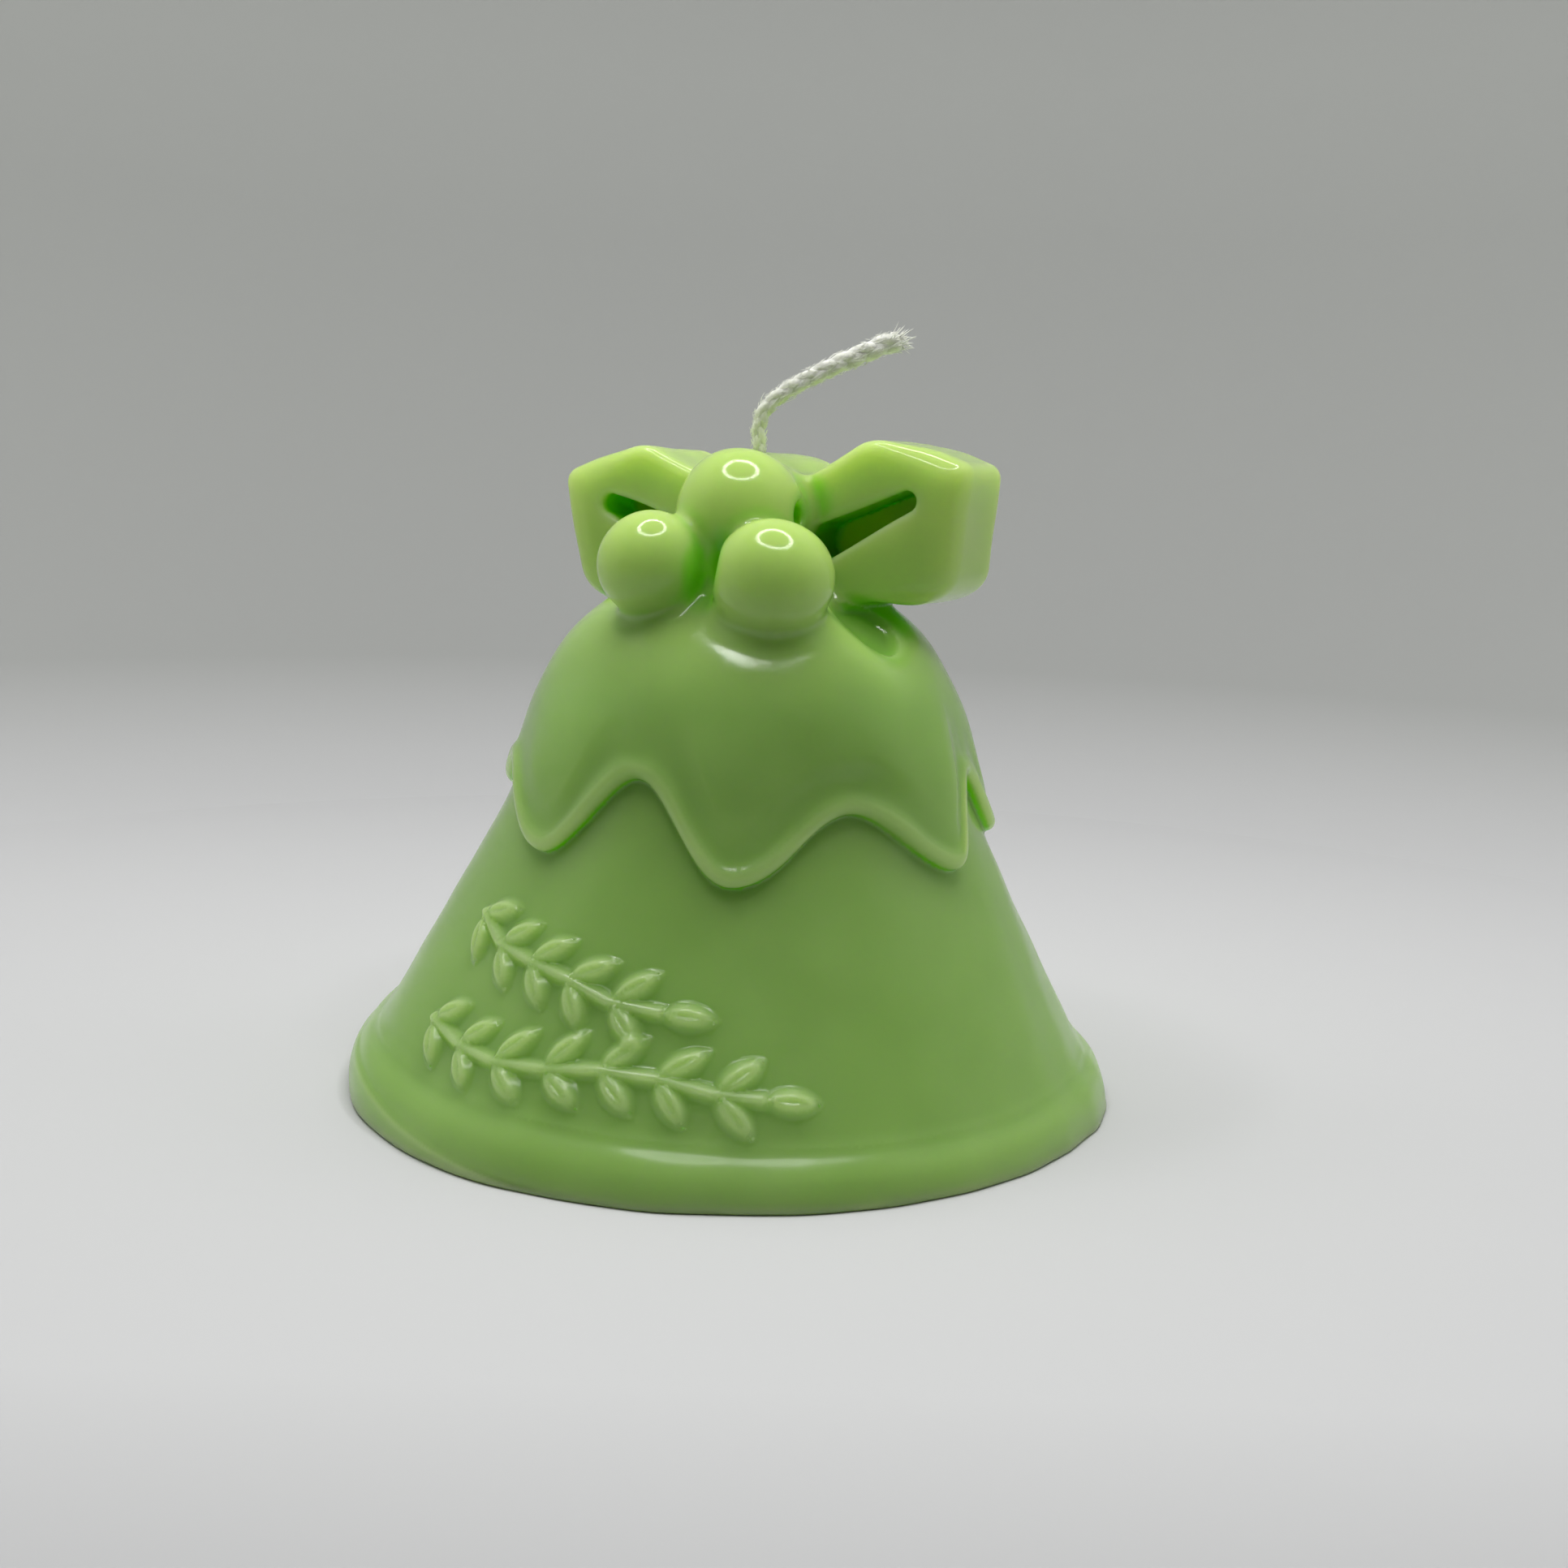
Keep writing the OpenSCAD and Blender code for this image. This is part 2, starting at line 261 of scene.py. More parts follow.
def icing(radius, height, azimuth, body, along):
    """Signed distance to a layer with a rolled, raised edge that swells into a lobe at each drip."""
    least_radius = 5            # keeps the edge's slope finite near the axis
    edge_z, slope = around(azimuth, 1)
    swell, _ = around(azimuth, 2)
    edge = OUTLINE.length_at_height(edge_z)
    turn = slope * 180 / np.pi / np.maximum(radius, least_radius)
    past = (edge - along) / np.sqrt(1 + turn**2)
    half = ICING_T / 2
    inner = np.maximum(half - body, 0) * step(past, *ICING_SEAM)
    layer = np.hypot(np.maximum(past + half, 0), np.maximum(body - half, 0) + inner) - half
    roll = ROLL_H * np.exp(-((past + ROLL_IN) / ROLL_W)**2)
    lobe = swell * (1 - step(height, *LOBE_FADE)) \
        * (LOBE_LOW + (1 - LOBE_LOW) * step(height, *LOBE_RISE))
    lobe += FULL_FRONT * np.exp(-((azimuth - FULL_AZIMUTH) / FULL_SPREAD)**2) \
        * step(height, *FULL_RISE) * (1 - step(height, *FULL_FADE))
    return layer - roll - lobe * step(-past, *LOBE_EASE)


def rim(radius, height, azimuth, world_z):
    """Signed distance to the bulging foot, with a faint second step low on its left side."""
    bulge = np.hypot(radius - (RIM_R - BEAD_R), height - BEAD_H) - BEAD_R
    top = (height - RIM_H) * RIM_TOP_FACES[1] + (radius - RIM_R + RIM_TOP_W) * RIM_TOP_FACES[0]
    foot = smooth_max(bulge, top, MELT["rim edge"])
    plinth_h = PLINTH_H * step(-azimuth, *PLINTH_RISE) * (1 - step(-azimuth, *PLINTH_FADE))
    plinth = smooth_max(bulge - PLINTH_OUT, world_z - plinth_h, MELT["plinth edge"])
    return smooth_min(foot, plinth, MELT["plinth"])


def ball(p, centre, radius):
    return np.linalg.norm(p - centre, axis=1) - radius


BOW_TURN = np.array(Matrix.Rotation(math.radians(-BOW_YAW), 3, "Z")
                    @ Matrix.Rotation(math.radians(-BOW_TILT), 3, "Y"))


def to_bow(p):
    return (p - np.array(BOW_AT)) @ BOW_TURN


def segment_gap(p, a, b):
    """Distance in the plane from points to a segment."""
    a, b = np.array(a, float), np.array(b, float)
    u = np.clip((p - a) @ (b - a) / ((b - a) @ (b - a)), 0, 1)
    return np.linalg.norm(p - a - u[:, None] * (b - a), axis=1)


def slot_gap(flat):
    """Signed distance to the tapering slot, for points in the loop's plane."""
    run = np.subtract(SLOT_TO, SLOT_FROM)
    u = np.clip((flat - SLOT_FROM) @ run / (run @ run), 0, 1)
    slot_r = SLOT_INNER_R + (SLOT_OUTER_R - SLOT_INNER_R) * u
    return segment_gap(flat, SLOT_FROM, SLOT_TO) - slot_r


def loop(q, mirror):
    """Signed distance to a bow loop, a soft-edged block with a blind slot in front and back."""
    x, y, z = q[:, 0] * mirror, q[:, 1], q[:, 2]
    flat = np.column_stack([x, z])
    outline = None
    for i, start in enumerate(LOOP):
        end = LOOP[(i + 1) % len(LOOP)]
        run = np.array([end[0] - start[0], end[1] - start[1]], float)
        side = (flat - start) @ np.array([-run[1], run[0]]) / np.linalg.norm(run)
        outline = side if outline is None else smooth_max(outline, side, MELT["loop corner"])
    far_end = step(x, *LOOP_FAR)
    block = smooth_max(outline - LOOP_OUT - FAR_OUT * far_end, np.abs(y) - BOW_DEPTH / 2,
                       LOOP_EDGE + FAR_EDGE * far_end)
    recess = np.maximum(slot_gap(flat), SLOT_WEB / 2 - np.abs(y))
    return smooth_max(block, -recess, MELT["slot lip"])


def knot(q):
    """Signed distance to the knot, a drum that lies from front to back."""
    radius = np.hypot(q[:, 0], q[:, 2]) - KNOT_R
    ends = np.abs(q[:, 1]) - BOW_DEPTH / 2 - KNOT_EXTRA
    return smooth_max(radius, ends, MELT["knot edge"])


def hollow(p, centre, azimuth, reach):
    """Rough distance to an ellipsoid that is turned to face an azimuth."""
    gap = p - np.array(centre)
    c, s = math.cos(math.radians(azimuth)), math.sin(math.radians(azimuth))
    turned = np.column_stack([gap[:, 0] * c + gap[:, 1] * s, gap[:, 0] * s - gap[:, 1] * c,
                              gap[:, 2]])
    return (np.linalg.norm(turned / np.array(reach), axis=1) - 1) * min(reach)


def leaf_gap(u, v):
    """Signed distance to a leaf from (0, 0) to (LEAF_L, 0): two arcs that meet in points."""
    x, y = u - LEAF_L / 2, np.abs(v)
    arc = (LEAF_L**2 + LEAF_W**2) / (4 * LEAF_W)
    drop = arc - LEAF_W / 2
    tip = np.hypot(np.abs(x) - LEAF_L / 2, y)
    beyond = y * (LEAF_L / 2) < (np.abs(x) - LEAF_L / 2) * drop
    return np.where(beyond, tip, np.hypot(x, y + drop) - arc)


def sprig(azimuth, along, radius, stem):
    """Height of the raised sprig: stems and leaves with soft shoulders and a midrib groove."""
    lengths = [np.interp(t, OUTLINE.flare_t, OUTLINE.flare_length) for _, t in stem]
    height = np.zeros(len(azimuth))
    rib = np.zeros(len(azimuth))
    last = len(stem) - 1
    for i, (a, _) in enumerate(stem):
        u = np.radians(azimuth - a) * radius
        v = along - lengths[i]
        j = i if i < last else i - 1
        r = np.interp(stem[i][1], OUTLINE.flare_t, OUTLINE.flare_r)
        run = np.array([math.radians(stem[j + 1][0] - stem[j][0]) * r, lengths[j + 1] - lengths[j]])
        turn = math.atan2(run[1], run[0])
        plane = np.column_stack([u, v])
        if i < last:
            gap = segment_gap(plane, (0, 0), run) - STEM_W / 2
            height = np.maximum(height, STEM_SHARE * (1 - step(gap, *STEM_SIDE)))
        for side in ((-LEAF_TURN, LEAF_TURN) if i < last else (0,)):
            c, s = math.cos(turn + math.radians(side)), math.sin(turn + math.radians(side))
            along_leaf, across = u * c + v * s, v * c - u * s
            gap = leaf_gap(along_leaf, across)
            height = np.maximum(height, 1 - step(gap, *LEAF_SIDE))
            on = (gap < 0) & (along_leaf > RIB_FROM)
            rib = np.where(on, np.maximum(rib, np.exp(-(across / RIB_W)**2)), rib)
    return RELIEF_H * (height - RIB_DEPTH * rib)


def ripples(p):
    """Height of the slight unevenness of a surface cast in a soft mould."""
    total = np.zeros(len(p))
    for wave, amplitude in WAVES:
        total += amplitude * np.sin(p @ wave[:3] + wave[3])
    return total


WAVES = []
for wavelength, amplitude, count in RIPPLES:
    for _ in range(count):
        direction = rng.normal(size=3)
        direction *= 2 * np.pi / wavelength / np.linalg.norm(direction)
        WAVES.append((np.append(direction, rng.uniform(0, 6.28)), amplitude))

BERRIES = [fitted_ball(n) for n in ("berry_upper", "berry_left", "berry_right")]


def wax(p):
    """Signed distance to the whole casting, for points in the casting's axes."""
    radius = np.hypot(p[:, 0], p[:, 1])
    height = p[:, 2]
    azimuth = np.degrees(np.arctan2(p[:, 0], -p[:, 1]))
    world_z = p @ LEAN[2]
    body, along = OUTLINE.look_up(radius, height)

    d = body.copy()
    near = (height > SPRIG_HEIGHTS[0]) & (height < SPRIG_HEIGHTS[1]) & (np.abs(body) < SPRIG_REACH) \
        & (azimuth > SPRIG_AZIMUTHS[0]) & (azimuth < SPRIG_AZIMUTHS[1])
    for stem in (UPPER_STEM, LOWER_STEM):
        d[near] -= sprig(azimuth[near], along[near], radius[near], stem)
    d = smooth_min(d, rim(radius, height, azimuth, world_z), MELT["rim"])

    upper = height > ICING_ABOVE
    layer = icing(radius[upper], height[upper], azimuth[upper], body[upper], along[upper])
    d[upper] = smooth_min(d[upper], layer, MELT["icing"])

    top = height > CROWN_ABOVE
    q = to_bow(p[top])
    crown = d[top]
    for centre, faces, reach in HOLLOWS:
        crown = smooth_max(crown, -hollow(p[top], centre, faces, reach), MELT["hollow"])
    crown = smooth_min(crown, knot(q), MELT["knot"])
    for mirror in (1, -1):
        crown = smooth_min(crown, loop(q, mirror), MELT["loop"])
    berries = None
    for centre, r in BERRIES:
        one = ball(p[top], centre, r)
        berries = one if berries is None else smooth_min(berries, one, MELT["berry"])
    berries = smooth_min(berries, ball(p[top], BERRY_CORE, BERRY_CORE_R), MELT["berry core"])
    crown = smooth_min(crown, berries, MELT["cluster"])
    for centre, faces, reach in PITS:
        crown = smooth_max(crown, -hollow(p[top], centre, faces, reach), MELT["pit"])
    d[top] = crown
    return smooth_max(d + ripples(p), -world_z, MELT["base edge"])


# ---- from distance field to mesh ----

def slope_of(field, p, reach=0.06):
    """Gradient of a distance field by central differences."""
    out = np.empty_like(p)
    for axis in range(3):
        shift = np.zeros(3)
        shift[axis] = reach
        out[:, axis] = (field(p + shift) - field(p - shift)) / (2 * reach)
    return out


def sharpness(p, reach=0.7):
    """How sharply the casting curves outwards at its surface, as one over a radius."""
    total = -6 * wax(p)
    for axis in range(3):
        shift = np.zeros(3)
        shift[axis] = reach
        total += wax(p + shift) + wax(p - shift)
    return total / reach**2


def in_chunks(field, p, size=400000):
    return np.concatenate([field(p[i:i + size]) for i in range(0, len(p), size)])


def sampled(field, low, high, cell):
    """The field on a grid, worked out block by block and exact only near the surface."""
    block = 4
    half_diagonal, slack = cell * block * 0.87, 0.6
    counts = np.ceil((np.array(high) - low) / (cell * block)).astype(int)
    corners = np.mgrid[0:counts[0], 0:counts[1], 0:counts[2]].reshape(3, -1).T
    centres = np.array(low) + (corners + 0.5) * cell * block
    rough = in_chunks(field, centres)
    band = 3 * cell
    near = np.abs(rough) < half_diagonal + band + slack
    values = np.repeat(np.sign(rough)[:, None] * band, block**3, axis=1)
    offsets = (np.mgrid[0:block, 0:block, 0:block].reshape(3, -1).T + 0.5) * cell
    points = np.array(low) + corners[near][:, None, :] * cell * block + offsets[None]
    values[near] = in_chunks(field, points.reshape(-1, 3)).reshape(-1, block**3)
    values = values.reshape(*counts, block, block, block).transpose(0, 3, 1, 4, 2, 5)
    return np.clip(values, -band, band).reshape(counts * block).astype(np.float32)


def largest_island(points, quads):
    """The mesh without the specks that a field leaves where two layers only just meet."""
    label = np.arange(len(points))
    while True:
        lowest = label.copy()
        np.minimum.at(lowest, quads.ravel(), np.repeat(label[quads].min(1), quads.shape[1]))
        lowest = lowest[lowest]
        if (lowest == label).all():
            break
        label = lowest
    kept = label == np.bincount(label).argmax()
    return points[kept], (np.cumsum(kept) - 1)[quads[kept[quads[:, 0]]]]


def surface(field, low, high, cell):
    """Vertices and quads of the field's zero level, each vertex moved right onto it."""
    least_squared_slope = 0.2   # keeps a vertex from moving far where the field is flat
    values = sampled(field, low, high, cell)
    grid = openvdb.FloatGrid(float(3 * cell))
    grid.copyFromArray(values)
    points, quads = largest_island(*grid.convertToQuads())
    points = np.array(low) + (points.astype(float) + 0.5) * cell
    for _ in range(2):
        gap = in_chunks(field, points)
        slope = slope_of(field, points)
        move = slope * (gap / np.maximum((slope**2).sum(1), least_squared_slope))[:, None]
        points -= np.clip(move, -cell / 2, cell / 2)
    return points, quads


def mesh_object(name, points, faces, material):
    """A smooth-shaded object from points in metres."""
    mesh = bpy.data.meshes.new(name)
    faces = np.asarray(faces)
    corners = faces.shape[1]
    mesh.vertices.add(len(points))
    mesh.vertices.foreach_set("co", np.asarray(points, np.float32).ravel())
    mesh.loops.add(faces.size)
    mesh.loops.foreach_set("vertex_index", faces.ravel().astype(np.int32))
    mesh.polygons.add(len(faces))
    mesh.polygons.foreach_set("loop_start", np.arange(0, faces.size, corners, dtype=np.int32))
    mesh.update(calc_edges=True)
    mesh.validate()
    mesh.polygons.foreach_set("use_smooth", np.ones(len(mesh.polygons), bool))
    mesh.materials.append(material)
    piece = bpy.data.objects.new(name, mesh)
    bpy.context.scene.collection.objects.link(piece)
    return piece


# ---- materials ----

def new_material(name):
    material = bpy.data.materials.new(name)
    material.use_nodes = True
    nodes = material.node_tree.nodes
    return material, nodes, material.node_tree.links, nodes["Principled BSDF"]


def coordinates(nodes, links):
    """The object's own coordinates as a vector, and the same split into X, Y and Z."""
    place = nodes.new("ShaderNodeTexCoord").outputs["Object"]
    split = nodes.new("ShaderNodeSeparateXYZ")
    links.new(place, split.inputs["Vector"])
    return place, split.outputs


def attribute(nodes, name):
    node = nodes.new("ShaderNodeAttribute")
    node.attribute_name = name
    return node.outputs["Fac"]


def noise(nodes, links, place, scale, detail):
    texture = nodes.new("ShaderNodeTexNoise")
    texture.inputs["Scale"].default_value = scale
    texture.inputs["Detail"].default_value = detail
    links.new(place, texture.inputs["Vector"])
    return texture.outputs["Fac"]


def map_range(nodes, links, value, start, end, low=0.0, high=1.0):
    """Goes from low to high, and no further, as the value goes from start to end."""
    node = nodes.new("ShaderNodeMapRange")
    node.inputs["From Min"].default_value = start
    node.inputs["From Max"].default_value = end
    node.inputs["To Min"].default_value = low
    node.inputs["To Max"].default_value = high
    links.new(value, node.inputs["Value"])
    return node.outputs["Result"]


def mix_colour(nodes, links, first, second, factor):
    """Goes from the first colour to the second; the first may be a node's output."""
    node = nodes.new("ShaderNodeMix")
    node.data_type = "RGBA"
    if isinstance(first, tuple):
        node.inputs["A"].default_value = (*first, 1)
    else:
        links.new(first, node.inputs["A"])
    node.inputs["B"].default_value = (*second, 1)
    links.new(factor, node.inputs["Factor"])
    return node.outputs["Result"]


def add_bump(nodes, links, shader, height, strength, distance):
    bump = nodes.new("ShaderNodeBump")
    bump.inputs["Strength"].default_value = strength
    bump.inputs["Distance"].default_value = distance
    links.new(height, bump.inputs["Height"])
    links.new(bump.outputs["Normal"], shader.inputs["Normal"])


def scatter(shader, weight, radius, scale):
    """Lets light scatter under the surface."""
    shader.inputs["Subsurface Weight"].default_value = weight
    shader.inputs["Subsurface Radius"].default_value = radius
    shader.inputs["Subsurface Scale"].default_value = scale


def wax_material():
    """Pale green soy wax: light scatters deep inside it, and its skin is softly glossy."""
    material, nodes, links, shader = new_material("wax")
    place, axis = coordinates(nodes, links)
    cloud = map_range(nodes, links, noise(nodes, links, place, 90, 3), 0.3, 0.7)
    colour = mix_colour(nodes, links, (0.25, 0.435, 0.10), (0.27, 0.455, 0.115), cloud)
    # Painted light: the crown is painted lighter, for the light that comes through its thin wax and falls
    # on it from above
    crown = map_range(nodes, links, axis["Z"], 0.042, 0.060)
    colour = mix_colour(nodes, links, colour, (0.41, 0.585, 0.155), crown)
    # Painted shade: a deep, saturated green where the wax is sunk in slots, hollows, pits and crevices
    colour = mix_colour(nodes, links, colour, (0.17, 0.55, 0.003), attribute(nodes, "painted_crevice_shade"))
    # Painted light: a paler green on sharp edges and on the raised sprigs
    colour = mix_colour(nodes, links, colour, (0.42, 0.60, 0.22), attribute(nodes, "painted_edge_light"))
    links.new(colour, shader.inputs["Base Color"])
    # The foot is a little duller than the crown
    dull = map_range(nodes, links, axis["Z"], 0.012, 0.040, 0.24, 0.13)
    links.new(dull, shader.inputs["Roughness"])
    shader.inputs["IOR"].default_value = 1.40
    scatter(shader, 1.0, (1.0, 1.0, 0.6), 0.010)
    add_bump(nodes, links, shader, noise(nodes, links, place, 2600, 2), 0.04, 0.00003)
    return material


def wick_material():
    """White cotton, finely fuzzy, tinted by wax towards its foot."""
    material, nodes, links, shader = new_material("wick")
    place, _ = coordinates(nodes, links)
    fuzz = noise(nodes, links, place, 4000, 2)
    colour = mix_colour(nodes, links, (0.74, 0.75, 0.66), (0.88, 0.87, 0.84), fuzz)
    colour = mix_colour(nodes, links, colour, (0.86, 0.94, 0.62), attribute(nodes, "soak"))
    links.new(colour, shader.inputs["Base Color"])
    shader.inputs["Roughness"].default_value = 0.7
    shader.inputs["Sheen Weight"].default_value = 0.3
    scatter(shader, 0.4, (1.0, 1.0, 0.8), 0.0006)
    add_bump(nodes, links, shader, fuzz, 0.5, 0.0001)
    return material


def paper_material():
    """Pale paper with painted shade: a darker band low on the wall, and dark close to the camera."""
    material, nodes, links, shader = new_material("paper")
    _, axis = coordinates(nodes, links)
    # Painted shade up the wall: pale floor, a darker band low on the wall, lighter higher up
    shade = nodes.new("ShaderNodeValToRGB")
    ramp = shade.color_ramp.elements
    ramp[0].color = (0.565, 0.565, 0.57, 1)
    ramp[1].color = (0.49, 0.50, 0.48, 1)
    low_on_wall = 0.13
    ramp.new(low_on_wall).color = (0.405, 0.41, 0.40, 1)
    links.new(map_range(nodes, links, axis["Z"], 0, 0.17), shade.inputs["Fac"])
    # Painted shade: the paper darkens towards the camera, where little light falls
    camera_side_shade = map_range(nodes, links, axis["Y"], -0.07, -0.20)
    colour = mix_colour(nodes, links, shade.outputs["Color"], (0.12, 0.12, 0.12), camera_side_shade)
    links.new(colour, shader.inputs["Base Color"])
    shader.inputs["Roughness"].default_value = 0.9
    return material


# ---- the wax casting ----

def add_float(piece, name, values):
    attribute = piece.data.attributes.new(name, "FLOAT", "POINT")
    attribute.data.foreach_set("value", np.asarray(values, np.float32))


# Distances from a slot, hollow or pit between which its painted shade fades
SLOT_FADE, HOLLOW_FADE, PIT_FADE = (0.05, 0.5), (-0.6, 3.4), (0, 1.6)
SLOT_DEPTHS = (1.2, 0.1)        # how far under the loop's faces a slot's painted shade is full, and where it ends
SLOTS_ABOVE = 50                # height above which the slots lie
# Strength of the painted shade in a hollow
HOLLOW_SHADE = 0.85
HOLLOW_TOP = (50.5, 52.5)       # heights between which a hollow's painted shade fades, so the loops stay clear
# The painted shade that the wax round a point gives it: reaches at which the wax is looked for, a gain,
# and an amount taken off
SHELTER_REACHES, SHELTER_GAIN, SHELTER_FROM = (1.5, 3.0, 5.0), 2.0, 0.9
EDGE_FROM, EDGE_GAIN, EDGE_MOST = 0.3, 0.5, 0.6         # how much painted light sharp edges get
# How much painted light the raised sprigs get
RELIEF_LIGHT = 0.45


def painted_crevice_shade(points, normals):
    """Painted shade for each point, from 0 to 1, by how far it is sunk in a slot, hollow or crevice."""
    shelter = np.zeros(len(points))
    for reach in SHELTER_REACHES:
        shelter += np.clip(1 - wax(points + normals * reach) / reach, 0, 1) / len(SHELTER_REACHES)
    sunk = np.clip(shelter * SHELTER_GAIN - SHELTER_FROM, 0, 1)
    q = to_bow(points)
    buried = 1 - step(np.abs(q[:, 1]), BOW_DEPTH / 2 - SLOT_DEPTHS[0], BOW_DEPTH / 2 - SLOT_DEPTHS[1])
    for mirror in (1, -1):
        slot = slot_gap(np.column_stack([q[:, 0] * mirror, q[:, 2]]))
        sunk = np.maximum(sunk, buried * (1 - step(slot, *SLOT_FADE)) * (points[:, 2] > SLOTS_ABOVE))
    for centre, faces, reach in HOLLOWS:
        near = 1 - step(hollow(points, centre, faces, reach), *HOLLOW_FADE)
        sunk = np.maximum(sunk, HOLLOW_SHADE * near * (1 - step(points[:, 2], *HOLLOW_TOP)))
    for centre, faces, reach in PITS:
        near = 1 - step(hollow(points, centre, faces, reach), *PIT_FADE)
        sunk = np.maximum(sunk, near)
    return sunk


def painted_edge_light(points):
    """Painted light for each point, from 0 to EDGE_MOST, by how far it stands out on an edge or sprig."""
    radius = np.hypot(points[:, 0], points[:, 1])
    azimuth = np.degrees(np.arctan2(points[:, 0], -points[:, 1]))
    _, along = OUTLINE.look_up(radius, points[:, 2])
    relief = np.zeros(len(points))
    low = points[:, 2] < SPRIG_HEIGHTS[1]
    for stem in (UPPER_STEM, LOWER_STEM):
        relief[low] = np.maximum(relief[low], sprig(azimuth[low], along[low], radius[low], stem))
    edges = np.clip((sharpness(points) - EDGE_FROM) * EDGE_GAIN, 0, EDGE_MOST)
    return np.maximum(edges, RELIEF_LIGHT * np.clip(relief, 0, 1))


def thin_out(piece, triangles):
    """Brings a mesh of this many triangles down to MOST_FACES."""
    if triangles <= MOST_FACES:
        return
    modifier = piece.modifiers.new("thin_out", "DECIMATE")
    modifier.ratio = MOST_FACES / triangles
    whole = bpy.data.meshes.new_from_object(
        piece.evaluated_get(bpy.context.evaluated_depsgraph_get()))
    piece.modifiers.clear()
    piece.data = whole
    whole.name = piece.name


def make_wax():
    points, quads = surface(wax, WAX_LOW, WAX_HIGH, CELL)
    piece = mesh_object("wax_casting", points @ LEAN.T * MM, quads, wax_material())
    thin_out(piece, 2 * len(quads))
    co = np.empty(len(piece.data.vertices) * 3, np.float32)
    piece.data.vertices.foreach_get("co", co)
    points = co.reshape(-1, 3).astype(float) / MM @ LEAN
    normals = slope_of(wax, points)
    normals /= np.maximum(np.linalg.norm(normals, axis=1), 1e-6)[:, None]
    piece.data.normals_split_custom_set_from_vertices((normals @ LEAN.T).tolist())
    add_float(piece, "painted_crevice_shade", painted_crevice_shade(points, normals))
    add_float(piece, "painted_edge_light", painted_edge_light(points))
    return piece


# ---- the wick ----

def smooth_route(route, spacing):
    """Evenly spaced points on a Catmull-Rom curve through the route."""
    p = np.array([2 * np.array(route[0]) - route[1], *route, 2 * np.array(route[-1]) - route[-2]])
    out = []
    for i in range(1, len(p) - 2):
        for t in np.linspace(0, 1, 24, endpoint=False):
            out.append(0.5 * (2 * p[i] + (p[i + 1] - p[i - 1]) * t
                              + (2 * p[i - 1] - 5 * p[i] + 4 * p[i + 1] - p[i + 2]) * t * t
                              + (3 * p[i] - p[i - 1] - 3 * p[i + 1] + p[i + 2]) * t**3))
    out = np.array(out + [p[-2]])
    length = np.concatenate([[0], np.cumsum(np.linalg.norm(np.diff(out, axis=0), axis=1))])
    s = np.linspace(0, length[-1], int(length[-1] / spacing) + 1)
    return s, np.column_stack([np.interp(s, length, out[:, k]) for k in range(3)])


def axes_along(points):
    """Tangent, upper side and right side of a curve that stays near the X-Z plane."""
    tangent = np.gradient(points, axis=0)
    tangent /= np.linalg.norm(tangent, axis=1)[:, None]
    side = np.cross(tangent, np.cross([0.0, 1.0, 0.0], tangent))
    side /= np.linalg.norm(side, axis=1)[:, None]
    return tangent, np.cross(side, tangent), side


def tube(points, radii, sides, ridges=0, ridge_h=0.0, twist=0.0):
    """Points and quads of a closed tube; ridges run round it as the plies of a yarn do."""
    tangent = np.gradient(points, axis=0)
    tangent /= np.maximum(np.linalg.norm(tangent, axis=1), 1e-9)[:, None]
    first = np.cross(tangent, [0.0, 1.0, 0.0])
    weak = np.linalg.norm(first, axis=1) < 0.2
    first[weak] = np.cross(tangent[weak], [1.0, 0.0, 0.0])
    first /= np.linalg.norm(first, axis=1)[:, None]
    second = np.cross(tangent, first)
    length = np.concatenate([[0], np.cumsum(np.linalg.norm(np.diff(points, axis=0), axis=1))])
    angle = np.arange(sides) * 2 * np.pi / sides
    bumps = 1 + ridge_h * np.cos(ridges * angle[None, :] - twist * length[:, None])
    r = np.asarray(radii)[:, None] * bumps
    rings = (points[:, None, :] + (r * np.cos(angle))[:, :, None] * first[:, None, :]
             + (r * np.sin(angle))[:, :, None] * second[:, None, :])
    count = len(points)
    i, j = np.meshgrid(np.arange(count - 1), np.arange(sides), indexing="ij")
    k = (j + 1) % sides
    quads = np.stack([i * sides + j, i * sides + k, (i + 1) * sides + k, (i + 1) * sides + j], -1)
    return rings.reshape(-1, 3), quads.reshape(-1, 4)


def rounded_ends(count, radius, taper):
    """Radii along a tube that closes to nearly a point at both ends."""
    radii = np.full(count, radius)
    ease = np.sqrt(np.clip(1 - (1 - (np.arange(taper) + 0.02) / taper)**2, 0, 1))
    radii[:taper] *= ease
    radii[-taper:] *= ease[::-1]
    return radii


def joined(tubes):
    """Several tubes as one mesh."""
    points, faces, start = [], [], 0
    for p, f in tubes:
        points.append(p)
        faces.append(f + start)
        start += len(p)
    return np.vstack(points), np.vstack(faces)


